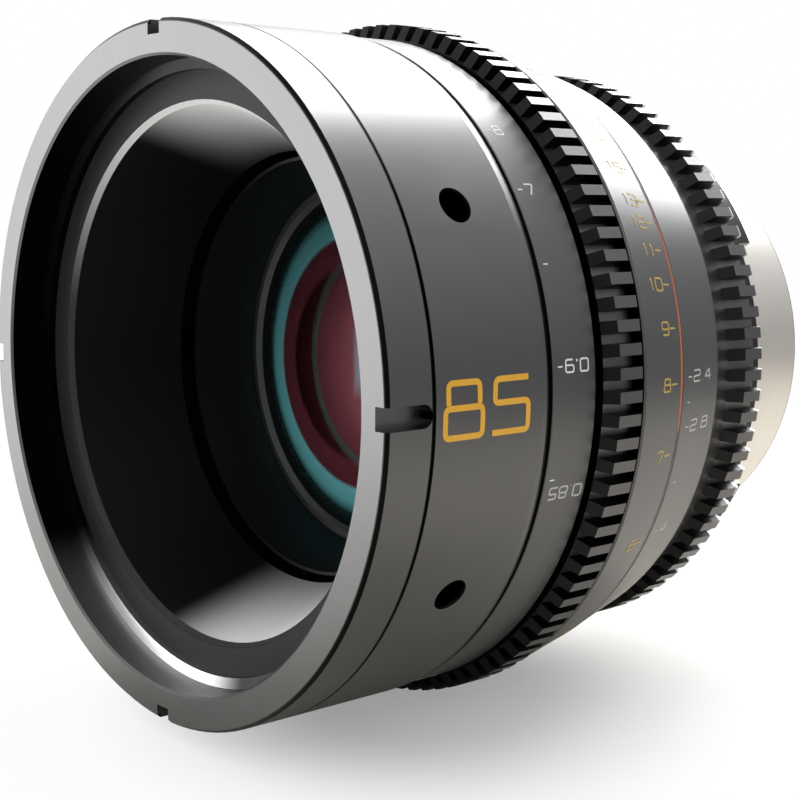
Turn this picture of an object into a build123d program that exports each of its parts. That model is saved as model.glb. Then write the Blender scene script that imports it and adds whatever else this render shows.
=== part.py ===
from build123d import *
from math import atan2, cos, degrees, pi, radians, sin, sqrt
import os

# Cinema prime lens of 85 mm focal length, lying on its side. The lens axis is Y, the front faces -Y,
# Z is up, and the origin is the centre of the seat that meets the camera. Stations (..._at) are
# millimetres behind the front face, radii (..._r) are from the lens axis. Angles round the axis
# are measured from the top towards +X, the side that carries the index marks.

# Fits and allowances
running_fit = 0.05
side_gap = 0.1
overrun = 1.0
# Turned pieces start and end at this angle, low on the lens and clear of every slot and hole
seam_angle = 170

# Overall
seat_at = 68.0
register_r = 27.0
register_end_at = 84.0
main_r = 34.55
front_wall = 5.45
front_r = main_r + front_wall

# Front ring, with the filter thread and four spanner slots
thread_wall = 4.0
thread_lead_in = 0.27
thread_r = front_r - thread_wall
face_inner_r = thread_r + thread_lead_in
face_chamfer = 0.43
face_outer_r = front_r - face_chamfer
thread_start_at = thread_lead_in
thread_end_at = 4.5
lip_at = 4.87
lip_width = 1.2
lip_r = thread_r - lip_width
front_ring_end_at = 5.9
spigot_depth = 1.8
spigot_r = front_r - spigot_depth
spigot_end_at = 8.5
slot_width = 2.35
slot_depth = 1.7
slot_floor_r = front_r - slot_depth
slot_end_at = 5.8
slot_count = 4

# Hood cone behind the front ring
hood_at = 5.7
hood_flange_step = 1.3
hood_flange_r = spigot_r - hood_flange_step
hood_flange_end_at = 7.2
hood_ledge = 3.3
hood_mouth_r = lip_r - hood_ledge
hood_cone_at = 6.5
hood_mouth_bevel = 0.5
hood_cone_r = hood_mouth_r - hood_mouth_bevel
hood_end_at = 19.8
hood_end_r = 26.2
hood_wall = 1.5

# Front barrel, the fixed outer sleeve
front_barrel_at = 6.1
front_barrel_end_at = 22.04
barrel_edge_at = 20.9
barrel_edge_drop = 0.2
barrel_edge_r = front_r - barrel_edge_drop
barrel_seat_end_at = 8.7
barrel_step_at = 9.0
barrel_neck_step = 1.15
barrel_neck_r = main_r - barrel_neck_step
side_hole_at = 13.3
side_hole_r = 2.0
side_hole_angles = (60, 120, 240, 300)
side_screw_sink = 2.8
side_screw_end_r = front_r - side_screw_sink
side_screw_socket_r = 1.0
side_screw_socket_depth = 1.6

# Main barrel, the fixed inner sleeve that carries everything
main_wall = 2.55
main_bore_r = main_r - main_wall
main_step_at = 43.4
main_rear_step = 0.5
main_rear_r = main_r - main_rear_step
main_end_at = 64.0
main_flange_at = 61.5
bush_r = 28.0
bush_at = 61.2

# Front thrust washer, stop pin, index ring and iris retaining ring
washer_end_at = 22.5
washer_width = 2.5
washer_play = 0.15
washer_inner_r = main_r + washer_play
washer_outer_r = washer_inner_r + washer_width
stop_pin_r = 0.6
stop_pin_inset = 1.9
stop_pin_circle_r = front_r - stop_pin_inset
stop_pin_at = 19.0
stop_pin_end_at = 24.0
stop_groove_end_at = 24.3
stop_pin_angle = 200
index_ring_end_at = 43.7
index_ring_width = 5.2
index_ring_r = main_r + index_ring_width
iris_retainer_at = 62.5
iris_retainer_width = 1.35
iris_retainer_r = main_rear_r + iris_retainer_width

# Mount: shim, flange with four lugs, register tube, screws and baffle
shim_end_at = 64.3
shim_outer_r = 33.4
tube_bore_r = 25.3
flange_r = 31.7
lug_r = 34.2
lug_half_angle = 18.2
lug_angles = (45, 135, 225, 315)
tube_edge = 0.4
flange_edge = 0.3
mount_screw_circle_r = 29.6
mount_screw_r = 1.0
mount_screw_head_r = 1.9
mount_screw_head_depth = 0.9
mount_screw_tip_at = 62.4
mount_screw_socket_r = 0.7
mount_screw_socket_depth = 0.6
mount_screw_angles = (45, 105, 165, 225, 285, 345)
baffle_at = 80.5
baffle_end_at = 82.0
baffle_width = 38.0
baffle_height = 28.0
baffle_corner_r = 3.0

# Focus ring: front scale band, drive gear and rear scale cone
focus_ring_at = 22.6
band_edge = 0.3
band_drop = 0.3
band_r = front_r - band_drop
band_end_at = 29.5
gear_groove_depth = 0.7
gear_groove_r = band_r - gear_groove_depth
cam_room = 2.05
focus_ring_bore_r = main_r + cam_room
focus_gear_at = 30.35
focus_gear_tip_at = 31.1
focus_gear_end_at = 35.03
focus_gear_chamfer = 0.4
focus_gear_rise = 1.6
focus_tooth_depth = 1.8
focus_gear_tip_r = front_r + focus_gear_rise
focus_gear_root_r = focus_gear_tip_r - focus_tooth_depth
focus_gear_teeth = 102
focus_gear_phase = 83.28
scale_at = 35.4
scale_rise = 1.3
scale_front_r = front_r + scale_rise
scale_end_at = 43.3
scale_fall = 1.5
scale_end_r = scale_front_r - scale_fall
focus_land_at = 41.0
tip_width_share = 0.5
root_width_share = 0.6
gear_rim = 1.4
gear_overlap = 0.7

# Cam sleeve inside the focus ring, with three helical slots
cam_lead = 15.3
cam_turn_to_infinity = 75
cam_turn_to_near = 180
cam_follower_at = 32.3
cam_follower_angles = (30, 150, 270)
follower_r = 1.5
follower_gap = 0.3
follower_end_r = focus_ring_bore_r - follower_gap
follower_stud_r = 1.0
follower_stud_end_r = 28.4
cam_overtravel = 0.4
cam_screw_inset = 1.0
cam_screw_circle_r = focus_ring_bore_r - cam_screw_inset
cam_screw_r = 0.5
cam_screw_head_r = 0.8
cam_screw_head_depth = 0.7
cam_screw_tip_at = 38.6
cam_screw_socket_r = 0.35
cam_screw_socket_depth = 0.4
cam_screw_angles = (90, 210, 330)

# Iris ring: scale cone and drive gear
iris_ring_at = 43.8
iris_edge = 0.3
iris_front_drop = 0.15
iris_front_r = index_ring_r - iris_front_drop
iris_cone_end_at = 53.0
iris_cone_fall = 2.15
iris_cone_end_r = iris_front_r - iris_cone_fall
iris_cove_at = 55.4
iris_cove_depth = 1.3
iris_cove_r = iris_cone_end_r - iris_cove_depth
iris_gear_at = 57.56
iris_gear_tip_at = 58.76
iris_gear_end_at = 62.38
iris_gear_drop = 2.4
iris_tooth_depth = 1.55
iris_gear_tip_r = iris_front_r - iris_gear_drop
iris_gear_root_r = iris_gear_tip_r - iris_tooth_depth
iris_gear_teeth = 91
iris_gear_phase = 82.48
iris_gear_chamfer = 0.3
iris_gear_rim = 0.9
iris_gear_overlap = 0.4

# Iris drive: fork in the iris ring, pin in the cam ring
iris_turn = 122
fork_angle = 300
fork_inner_r = 30.2
fork_outer_r = 31.7
fork_at = 38.0
fork_end_at = 61.0
fork_width = 9.0
foot_at = 54.5
foot_end_at = 57.0
foot_width = 6.0
fork_screw_r = 0.8
fork_screw_head_r = 1.3
fork_screw_head_depth = 0.8
fork_screw_tip_r = 32.2
fork_screw_socket_r = 0.5
fork_screw_socket_depth = 0.4
window_margin_angle = 1.0
drive_pin_r = 0.7
drive_pin_at = 47.3
fork_slot_play = 0.3
fork_slot_at = drive_pin_at - cam_lead * cam_turn_to_near / 360 - drive_pin_r - fork_slot_play
fork_slot_end_at = drive_pin_at + cam_lead * cam_turn_to_infinity / 360 + drive_pin_r + fork_slot_play
drive_pin_start_r = 27.4

# Lens carrier, front cell and rear carrier
carrier_at = 30.0
carrier_land_end_at = 34.5
carrier_tube_r = 29.8
carrier_bore_r = 28.4
carrier_web_at = 46.2
carrier_end_at = 55.5
front_cell_at = 21.5
front_cell_r = 25.9
front_cell_mouth_r = 25.2
front_cell_edge = 0.3
front_cell_seat_at = 29.2
element_one_r = 23.1
element_step_at = 36.6
element_two_r = 20.2
front_cell_stop_at = 45.04
front_cell_stop_r = 15.0
front_cell_end_at = 45.8
retainer_at = 29.4
retainer_end_at = 31.0
retainer_inner_r = 21.7
retainer_bevel = 0.6
rear_carrier_at = 53.2
rear_tube_r = 24.9
rear_tube_end_at = 76.0
rear_mouth_r = 15.4
rear_seat_at = 55.5
element_four_r = 18.0
rear_step_at = 65.0
rear_element_r = 20.5
rear_spacer_inner_r = 16.9
rear_spacer_end_at = 69.2
rear_retainer_at = 71.6
rear_retainer_end_at = 73.4
rear_retainer_inner_r = 19.3
front_spacer_inner_r = 18.9
front_spacer_end_at = 39.3

# Glass: rim stations and surface radii. A surface radius is positive when it bulges forwards.
element_one_rim_at = 31.0
element_one_rim_end_at = 34.0
element_one_front_curve = 70.0
element_one_rear_curve = 300.0
element_one_front_clear_r = 21.6
element_one_rear_clear_r = 18.8
element_two_rim_at = 39.3
element_two_front_curve = 38.0
element_two_clear_r = 18.8
doublet_joint_at = 40.5
doublet_joint_curve = 200.0
element_three_rear_curve = 34.0
element_three_clear_r = 14.9
element_four_front_curve = -30.0
element_four_clear_r = 15.2
rear_joint_at = 63.9
rear_joint_curve = 60.0
element_five_rear_curve = -40.0
element_five_clear_r = 16.6
rear_element_front_curve = -300.0
rear_element_rear_curve = -55.0
rear_element_front_clear_r = 16.7
rear_element_rear_clear_r = 19.0

# Iris: cam ring, seat plate, nine blades in nine layers, cover
blade_count = 9
blade_turn = 31.9
blade_pivot_r = 23.2
blade_inner_r = 14.3
blade_outer_r = 22.4
blade_start_angle = -2
blade_end_angle = 105
blade_ear_r = 1.15
blade_thickness = 0.1
blade_pitch = 0.2
blade_first_at = 50.4
blade_shaft_r = 0.45
crank_length = 8.0
crank_width = 1.3
crank_at = 48.5
crank_end_at = 49.0
crank_pin_r = 0.32
crank_pin_at = 46.6
cam_ring_at = 46.35
cam_ring_end_at = 48.3
cam_ring_inner_r = 20.8
cam_slot_r = 0.4
cam_slot_overtravel = 1.5
iris_plate_at = 49.2
iris_plate_end_at = 50.2
stop_r = 14.2
cover_rim_r = 26.9
cover_plate_at = 52.4
iris_screw_circle_r = 27.65
iris_screw_r = 0.4
iris_screw_tip_at = 49.5
iris_screw_head_r = 0.6
iris_screw_head_depth = 0.4
iris_screw_angles = (0, 120, 240)


def y(station):
    return station - seat_at


def point(radius, angle, station):
    turn_to = radians(angle)
    return (radius * sin(turn_to), y(station), radius * cos(turn_to))


def across(station):
    # Plane across the axis, in which a point's polar angle is its angle round the lens
    return Plane(origin=(0, y(station), 0), x_dir=(0, 0, 1), z_dir=(0, 1, 0))


def meridian(angle):
    # Plane through the axis, with the radius along its first direction and the axis along its second
    turn_to = radians(angle)
    return Plane(origin=(0, 0, 0), x_dir=(sin(turn_to), 0, cos(turn_to)),
                 z_dir=(-cos(turn_to), 0, sin(turn_to)))


def radial(radius, angle, station):
    # Plane that faces outwards, with the lens axis along its first direction
    turn_to = radians(angle)
    return Plane(origin=point(radius, angle, station), x_dir=(0, 1, 0), z_dir=(sin(turn_to), 0, cos(turn_to)))


def turn(*outline, mode=Mode.ADD):
    # Turned shape from corners given as station and radius
    with BuildSketch(meridian(seam_angle)) as section:
        with BuildLine():
            Polyline(*[(radius, y(station)) for station, radius in outline], close=True)
        make_face()
    revolve(section.sketch, axis=Axis.Y, mode=mode)


def sector(start, end, inner, outer, angle, arc, mode=Mode.SUBTRACT):
    # Part of a ring between two stations, from one angle through an arc
    with BuildSketch(meridian(angle)) as section:
        with BuildLine():
            Polyline((inner, y(start)), (outer, y(start)), (outer, y(end)), (inner, y(end)), close=True)
        make_face()
    revolve(section.sketch, axis=Axis.Y, revolution_arc=arc, mode=mode)


def spoke(radius, start, end, angle, station, mode=Mode.ADD):
    # Round pin or hole that points outwards from the axis
    with BuildSketch(radial(start, angle, station)) as section:
        Circle(radius)
    extrude(section.sketch, amount=end - start, mode=mode)


def peg(radius, circle, angle, start, end, mode=Mode.ADD):
    # Round pin or hole that runs along the axis
    with BuildSketch(across(start)) as section:
        with PolarLocations(circle, 1, start_angle=angle):
            Circle(radius)
    extrude(section.sketch, amount=end - start, mode=mode)


def hexagon_peg(radius, circle, angle, start, end, mode=Mode.SUBTRACT):
    with BuildSketch(across(start)) as section:
        with PolarLocations(circle, 1, start_angle=angle):
            RegularPolygon(radius, 6)
    extrude(section.sketch, amount=end - start, mode=mode)


def gear(teeth, phase, root, tip, rim, start, tip_start, end, chamfer_size):
    # Toothed rim whose teeth have a sloping front end and a bevelled rear end
    pitch = 360 / teeth
    corners = []
    for tooth in range(teeth):
        middle = phase + tooth * pitch
        for radius, share in ((root, -root_width_share), (tip, -tip_width_share),
                              (tip, tip_width_share), (root, root_width_share)):
            turn_to = radians(middle + share * pitch / 2)
            corners.append((radius * cos(turn_to), radius * sin(turn_to)))
    with BuildSketch(across(start)) as section:
        with BuildLine():
            Polyline(*corners, close=True)
        make_face()
        Circle(root - rim, mode=Mode.SUBTRACT)
    extrude(section.sketch, amount=end - start)
    inner = root - rim - overrun
    turn((start, inner), (start, root), (tip_start, tip), (end - chamfer_size, tip),
         (end, tip - chamfer_size), (end, inner), mode=Mode.INTERSECT)


def sag(curve, height):
    # Depth of a spherical surface at a height from its middle, signed like its curve
    size = abs(curve)
    depth = size - sqrt(size * size - height * height)
    return depth if curve > 0 else -depth


def element(radius, rim_at, front_curve, front_clear, rim_end_at, rear_curve, rear_clear):
    # Lens element with a flat rim beyond the clear radius of each surface
    front_middle = rim_at - sag(front_curve, front_clear)
    rear_middle = rim_end_at - sag(rear_curve, rear_clear)
    half = 0.5
    with BuildSketch(meridian(seam_angle)) as section:
        with BuildLine():
            ThreePointArc((0, y(front_middle)),
                          (front_clear * half, y(front_middle + sag(front_curve, front_clear * half))),
                          (front_clear, y(rim_at)))
            if front_clear < radius:
                Line((front_clear, y(rim_at)), (radius, y(rim_at)))
            Line((radius, y(rim_at)), (radius, y(rim_end_at)))
            if rear_clear < radius:
                Line((radius, y(rim_end_at)), (rear_clear, y(rim_end_at)))
            ThreePointArc((rear_clear, y(rim_end_at)),
                          (rear_clear * half, y(rear_middle + sag(rear_curve, rear_clear * half))),
                          (0, y(rear_middle)))
            Line((0, y(rear_middle)), (0, y(front_middle)))
        make_face()
    revolve(section.sketch, axis=Axis.Y)


# Front ring
with BuildPart() as front_ring:
    turn((0, face_inner_r), (thread_start_at, thread_r), (thread_end_at, thread_r), (lip_at, lip_r),
         (hood_at, lip_r), (hood_at, hood_flange_r), (spigot_end_at, hood_flange_r),
         (spigot_end_at, spigot_r), (front_ring_end_at, spigot_r), (front_ring_end_at, front_r),
         (face_chamfer, front_r), (0, face_outer_r))
    slot_centre_at = slot_end_at - slot_width / 2
    slot_length = slot_centre_at + overrun
    for step in range(slot_count):
        with BuildSketch(radial(slot_floor_r, step * 360 / slot_count, slot_centre_at)):
            with Locations((-slot_length / 2, 0)):
                Rectangle(slot_length, slot_width)
            Circle(slot_width / 2)
        extrude(amount=front_r - slot_floor_r + overrun, mode=Mode.SUBTRACT)

# Hood cone, clamped between the front ring and the front barrel
with BuildPart() as front_hood:
    turn((hood_at, hood_flange_r), (hood_at, hood_mouth_r), (hood_cone_at, hood_cone_r),
         (hood_end_at, hood_end_r), (hood_end_at, hood_end_r + hood_wall),
         (hood_flange_end_at, hood_cone_r + hood_wall), (hood_flange_end_at, hood_flange_r))

# Front barrel with its four side holes
with BuildPart() as front_barrel:
    turn((front_barrel_at, front_r), (front_barrel_at, spigot_r), (barrel_seat_end_at, spigot_r),
         (barrel_seat_end_at, hood_flange_r), (hood_flange_end_at, hood_flange_r),
         (hood_flange_end_at, barrel_neck_r), (barrel_step_at, barrel_neck_r), (barrel_step_at, main_r),
         (front_barrel_end_at, main_r), (front_barrel_end_at, barrel_edge_r), (barrel_edge_at, front_r))
    for angle in side_hole_angles:
        spoke(side_hole_r, main_r - overrun, front_r + overrun, angle, side_hole_at, mode=Mode.SUBTRACT)
    peg(stop_pin_r, stop_pin_circle_r, stop_pin_angle, stop_pin_at, front_barrel_end_at + overrun,
        mode=Mode.SUBTRACT)

# Screws at the bottom of the side holes, which lock the front barrel to the main barrel
with BuildPart() as side_screws:
    for angle in side_hole_angles:
        spoke(side_hole_r, main_r, side_screw_end_r, angle, side_hole_at)
    for angle in side_hole_angles:
        with BuildSketch(radial(side_screw_end_r - side_screw_socket_depth, angle, side_hole_at)):
            RegularPolygon(side_screw_socket_r, 6)
        extrude(amount=side_screw_socket_depth + overrun, mode=Mode.SUBTRACT)

# Travel of the moving lens group, forwards for near subjects and rearwards for infinity
travel_forward = cam_lead * cam_turn_to_near / 360
travel_rearward = cam_lead * cam_turn_to_infinity / 360
follower_slot_r = follower_r + running_fit

# Main barrel with three straight guide slots and the window for the iris fork
with BuildPart() as main_barrel:
    turn((barrel_step_at, main_bore_r), (barrel_step_at, main_r), (main_step_at, main_r),
         (main_step_at, main_rear_r), (main_end_at, main_rear_r), (main_end_at, bush_r),
         (main_flange_at, bush_r), (main_flange_at, main_bore_r))
    guide_front_at = cam_follower_at - travel_forward - cam_overtravel
    guide_rear_at = cam_follower_at + travel_rearward + cam_overtravel
    guide_length = guide_rear_at - guide_front_at
    for angle in cam_follower_angles:
        with BuildSketch(radial(main_bore_r - overrun, angle, (guide_front_at + guide_rear_at) / 2)):
            SlotCenterToCenter(guide_length, 2 * follower_slot_r)
        extrude(amount=main_r - main_bore_r + 2 * overrun, mode=Mode.SUBTRACT)
    foot_half_angle = 360 * (foot_width / 2) / (2 * pi * fork_outer_r)
    window_angle = fork_angle - iris_turn - foot_half_angle - window_margin_angle
    window_arc = iris_turn + 2 * (foot_half_angle + window_margin_angle)
    sector(foot_at - side_gap, foot_end_at + side_gap, main_bore_r - overrun, main_r + overrun,
           window_angle, window_arc)
    for angle in mount_screw_angles:
        peg(mount_screw_r, mount_screw_circle_r, angle, mount_screw_tip_at, main_end_at + overrun,
            mode=Mode.SUBTRACT)

with BuildPart() as front_washer:
    turn((front_barrel_end_at, washer_inner_r), (front_barrel_end_at, washer_outer_r),
         (washer_end_at, washer_outer_r), (washer_end_at, washer_inner_r))

with BuildPart() as focus_stop_pin:
    peg(stop_pin_r, stop_pin_circle_r, stop_pin_angle, stop_pin_at, stop_pin_end_at)

with BuildPart() as index_ring:
    turn((main_step_at, main_rear_r), (main_step_at, index_ring_r), (index_ring_end_at, index_ring_r),
         (index_ring_end_at, main_rear_r))

with BuildPart() as iris_retainer:
    turn((iris_retainer_at, main_rear_r), (iris_retainer_at, iris_retainer_r),
         (main_end_at - flange_edge, iris_retainer_r), (main_end_at, iris_retainer_r - flange_edge),
         (main_end_at, main_rear_r))

with BuildPart() as rear_guide_bush:
    turn((bush_at, rear_tube_r + running_fit), (bush_at, bush_r), (main_end_at, bush_r),
         (main_end_at, rear_tube_r + running_fit))

with BuildPart() as mount_shim:
    turn((main_end_at, tube_bore_r), (main_end_at, shim_outer_r), (shim_end_at, shim_outer_r),
         (shim_end_at, tube_bore_r))
    for angle in mount_screw_angles:
        peg(mount_screw_r, mount_screw_circle_r, angle, main_end_at - overrun, shim_end_at + overrun,
            mode=Mode.SUBTRACT)

# Mount flange: a disc with four lugs, and the tube that registers in the camera
with BuildPart() as mount_flange:
    turn((shim_end_at, tube_bore_r), (shim_end_at, flange_r), (seat_at - flange_edge, flange_r),
         (seat_at, flange_r - flange_edge), (seat_at, register_r), (register_end_at - tube_edge, register_r),
         (register_end_at, register_r - tube_edge), (register_end_at, tube_bore_r))
    for angle in lug_angles:
        with BuildSketch(meridian(angle - lug_half_angle)):
            with BuildLine():
                Polyline((flange_r - overrun, y(shim_end_at)), (lug_r, y(shim_end_at)),
                         (lug_r, y(seat_at - flange_edge)), (lug_r - flange_edge, y(seat_at)),
                         (flange_r - overrun, y(seat_at)), close=True)
            make_face()
        revolve(axis=Axis.Y, revolution_arc=2 * lug_half_angle)
    for angle in mount_screw_angles:
        peg(mount_screw_r, mount_screw_circle_r, angle, shim_end_at - overrun, seat_at + overrun,
            mode=Mode.SUBTRACT)
        peg(mount_screw_head_r, mount_screw_circle_r, angle, seat_at - mount_screw_head_depth - side_gap,
            seat_at + overrun, mode=Mode.SUBTRACT)

with BuildPart() as mount_screws:
    head_top_at = seat_at - side_gap
    for angle in mount_screw_angles:
        peg(mount_screw_r, mount_screw_circle_r, angle, mount_screw_tip_at, head_top_at)
        peg(mount_screw_head_r, mount_screw_circle_r, angle, head_top_at - mount_screw_head_depth, head_top_at)
    for angle in mount_screw_angles:
        hexagon_peg(mount_screw_socket_r, mount_screw_circle_r, angle,
                    head_top_at - mount_screw_socket_depth, head_top_at + overrun)

with BuildPart() as rear_baffle:
    turn((baffle_at, 0), (baffle_at, tube_bore_r), (baffle_end_at, tube_bore_r), (baffle_end_at, 0))
    with BuildSketch(across(baffle_at - overrun)):
        RectangleRounded(baffle_height, baffle_width, baffle_corner_r)
    extrude(amount=baffle_end_at - baffle_at + 2 * overrun, mode=Mode.SUBTRACT)

# Focus ring with its drive gear; the stop pin runs in an arc groove in its front face
with BuildPart() as focus_ring:
    gear(focus_gear_teeth, focus_gear_phase, focus_gear_root_r, focus_gear_tip_r, gear_rim,
         focus_gear_at, focus_gear_tip_at, focus_gear_end_at, focus_gear_chamfer)
    core_r = focus_gear_root_r - gear_overlap
    turn((focus_ring_at, focus_ring_bore_r), (focus_ring_at, band_r - band_edge),
         (focus_ring_at + band_edge, band_r), (band_end_at - band_edge, band_r),
         (band_end_at, band_r - band_edge), (band_end_at, gear_groove_r),
         (scale_at, gear_groove_r), (scale_at, scale_front_r - band_edge),
         (scale_at + band_edge, scale_front_r), (scale_end_at, scale_end_r),
         (scale_end_at, main_r + running_fit), (focus_land_at, main_r + running_fit),
         (focus_land_at, focus_ring_bore_r))
    pin_play_angle = 360 * (stop_pin_r + side_gap) / (2 * pi * stop_pin_circle_r)
    groove_angle = stop_pin_angle - cam_turn_to_infinity - pin_play_angle
    sector(focus_ring_at - overrun, stop_groove_end_at, stop_pin_circle_r - stop_pin_r - side_gap,
           stop_pin_circle_r + stop_pin_r + side_gap, groove_angle,
           cam_turn_to_infinity + cam_turn_to_near + 2 * pin_play_angle)
    for angle in cam_screw_angles:
        peg(cam_screw_r, cam_screw_circle_r, angle, focus_land_at - overrun, scale_end_at + overrun,
            mode=Mode.SUBTRACT)
        peg(cam_screw_head_r, cam_screw_circle_r, angle,
            scale_end_at - side_gap - cam_screw_head_depth, scale_end_at + overrun, mode=Mode.SUBTRACT)

# Cutter for one helical slot, which starts at the top and winds against the angle as it goes rearwards
cam_middle_r = (main_r + focus_ring_bore_r) / 2
cam_end_turn = 360 * cam_overtravel / cam_lead
cam_arc = cam_turn_to_near + cam_turn_to_infinity + 2 * cam_end_turn
with BuildPart() as cam_slot:
    with BuildLine() as path:
        Helix(pitch=cam_lead, height=cam_lead * cam_arc / 360, radius=cam_middle_r,
              center=(0, y(guide_front_at), 0), direction=(0, 1, 0), lefthand=True)
    slot_start = path.line @ 0
    slot_start_angle = degrees(atan2(slot_start.X, slot_start.Z))
    with BuildSketch(Plane(origin=slot_start, x_dir=(slot_start.X, 0, slot_start.Z), z_dir=path.line % 0)):
        Rectangle(focus_ring_bore_r - main_r + overrun, 2 * follower_slot_r)
    sweep(is_frenet=True)

# Cam sleeve: three helical slots lead the followers along the axis as the focus ring turns
with BuildPart() as cam_sleeve:
    turn((washer_end_at + side_gap, main_r + running_fit), (washer_end_at + side_gap, focus_ring_bore_r),
         (focus_land_at, focus_ring_bore_r), (focus_land_at, main_r + running_fit))
    for angle in cam_follower_angles:
        start_angle = angle + cam_turn_to_near + cam_end_turn
        with Locations(Location((0, 0, 0), (0, start_angle - slot_start_angle, 0))):
            add(cam_slot.part, mode=Mode.SUBTRACT)
    for angle in cam_screw_angles:
        peg(cam_screw_r, cam_screw_circle_r, angle, cam_screw_tip_at, focus_land_at + overrun,
            mode=Mode.SUBTRACT)

with BuildPart() as cam_screws:
    cam_head_top_at = scale_end_at - side_gap
    for angle in cam_screw_angles:
        peg(cam_screw_r, cam_screw_circle_r, angle, cam_screw_tip_at, cam_head_top_at)
        peg(cam_screw_head_r, cam_screw_circle_r, angle, cam_head_top_at - cam_screw_head_depth, cam_head_top_at)
    for angle in cam_screw_angles:
        hexagon_peg(cam_screw_socket_r, cam_screw_circle_r, angle,
                    cam_head_top_at - cam_screw_socket_depth, cam_head_top_at + overrun)

# Iris ring with its drive gear
with BuildPart() as iris_ring:
    gear(iris_gear_teeth, iris_gear_phase, iris_gear_root_r, iris_gear_tip_r, iris_gear_rim,
         iris_gear_at, iris_gear_tip_at, iris_gear_end_at, iris_gear_chamfer)
    iris_core_r = iris_gear_root_r - iris_gear_overlap
    with BuildSketch(meridian(seam_angle)):
        with BuildLine():
            Polyline((iris_core_r, y(iris_gear_end_at)), (main_rear_r + running_fit, y(iris_gear_end_at)),
                     (main_rear_r + running_fit, y(iris_ring_at)), (iris_front_r - iris_edge, y(iris_ring_at)),
                     (iris_front_r, y(iris_ring_at + iris_edge)), (iris_cone_end_r, y(iris_cone_end_at)))
            ThreePointArc((iris_cone_end_r, y(iris_cone_end_at)), (iris_cove_r, y(iris_cove_at)),
                          (iris_gear_root_r, y(iris_gear_at)))
            Polyline((iris_gear_root_r, y(iris_gear_at)), (iris_core_r, y(iris_gear_at)),
                     (iris_core_r, y(iris_gear_end_at)))
        make_face()
    revolve(axis=Axis.Y)
    foot_middle_at = (foot_at + foot_end_at) / 2
    spoke(fork_screw_r, main_rear_r - overrun, iris_front_r, fork_angle, foot_middle_at, mode=Mode.SUBTRACT)
    fork_head_r = iris_cove_r - side_gap
    spoke(fork_screw_head_r, fork_head_r - fork_screw_head_depth, iris_front_r, fork_angle, foot_middle_at,
          mode=Mode.SUBTRACT)

# Fork that reaches forwards inside the main barrel and turns the iris cam ring by its pin
with BuildPart() as iris_fork:
    sector(fork_at, fork_end_at, fork_inner_r, fork_outer_r,
           fork_angle - 360 * (fork_width / 2) / (2 * pi * fork_outer_r),
           360 * fork_width / (2 * pi * fork_outer_r), mode=Mode.ADD)
    sector(foot_at, foot_end_at, fork_outer_r - side_gap, main_rear_r + running_fit,
           fork_angle - foot_half_angle, 2 * foot_half_angle, mode=Mode.ADD)
    with BuildSketch(radial(fork_inner_r - overrun, fork_angle, (fork_slot_at + fork_slot_end_at) / 2)):
        SlotOverall(fork_slot_end_at - fork_slot_at, 2 * (drive_pin_r + running_fit))
    extrude(amount=fork_outer_r - fork_inner_r + 2 * overrun, mode=Mode.SUBTRACT)
    spoke(fork_screw_r, fork_screw_tip_r, main_rear_r + overrun, fork_angle, foot_middle_at, mode=Mode.SUBTRACT)

with BuildPart() as fork_screw:
    spoke(fork_screw_r, fork_screw_tip_r, fork_head_r, fork_angle, foot_middle_at)
    spoke(fork_screw_head_r, fork_head_r - fork_screw_head_depth, fork_head_r, fork_angle, foot_middle_at)
    with BuildSketch(radial(fork_head_r - fork_screw_socket_depth, fork_angle, foot_middle_at)):
        RegularPolygon(fork_screw_socket_r, 6)
    extrude(amount=fork_screw_socket_depth + overrun, mode=Mode.SUBTRACT)

# Lens carrier, which slides in the main barrel on its front land
with BuildPart() as lens_carrier:
    land_r = main_bore_r - running_fit
    turn((carrier_at, front_cell_r), (carrier_at, land_r), (carrier_land_end_at, land_r),
         (carrier_land_end_at, carrier_tube_r), (carrier_end_at, carrier_tube_r),
         (carrier_end_at, carrier_bore_r), (carrier_web_at, carrier_bore_r), (carrier_web_at, front_cell_r))
    for angle in cam_follower_angles:
        spoke(follower_stud_r, follower_stud_end_r, main_bore_r + overrun, angle, cam_follower_at,
              mode=Mode.SUBTRACT)
    pin_half_angle = 360 * (drive_pin_r + side_gap) / (2 * pi * carrier_bore_r)
    sector(drive_pin_at - drive_pin_r - side_gap, drive_pin_at + drive_pin_r + side_gap,
           carrier_bore_r - overrun, carrier_tube_r + overrun,
           fork_angle - iris_turn - pin_half_angle, iris_turn + 2 * pin_half_angle)

with BuildPart() as cam_followers:
    for angle in cam_follower_angles:
        spoke(follower_stud_r, follower_stud_end_r, land_r, angle, cam_follower_at)
        spoke(follower_r, land_r + running_fit, follower_end_r, angle, cam_follower_at)
        spoke(follower_stud_r, land_r, land_r + side_gap, angle, cam_follower_at)

with BuildPart() as front_cell:
    turn((front_cell_at, front_cell_mouth_r), (front_cell_at, front_cell_r - front_cell_edge),
         (front_cell_at + front_cell_edge, front_cell_r), (front_cell_end_at, front_cell_r),
         (front_cell_end_at, front_cell_stop_r), (front_cell_stop_at, front_cell_stop_r),
         (front_cell_stop_at, element_two_r), (element_step_at, element_two_r),
         (element_step_at, element_one_r), (front_cell_seat_at, element_one_r))

with BuildPart() as front_retainer:
    turn((retainer_at, element_one_r), (retainer_at, retainer_inner_r + retainer_bevel),
         (retainer_at + retainer_bevel, retainer_inner_r), (retainer_end_at, retainer_inner_r),
         (retainer_end_at, element_one_r))

with BuildPart() as element_one:
    element(element_one_r, element_one_rim_at, element_one_front_curve, element_one_front_clear_r,
            element_one_rim_end_at, element_one_rear_curve, element_one_rear_clear_r)

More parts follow.
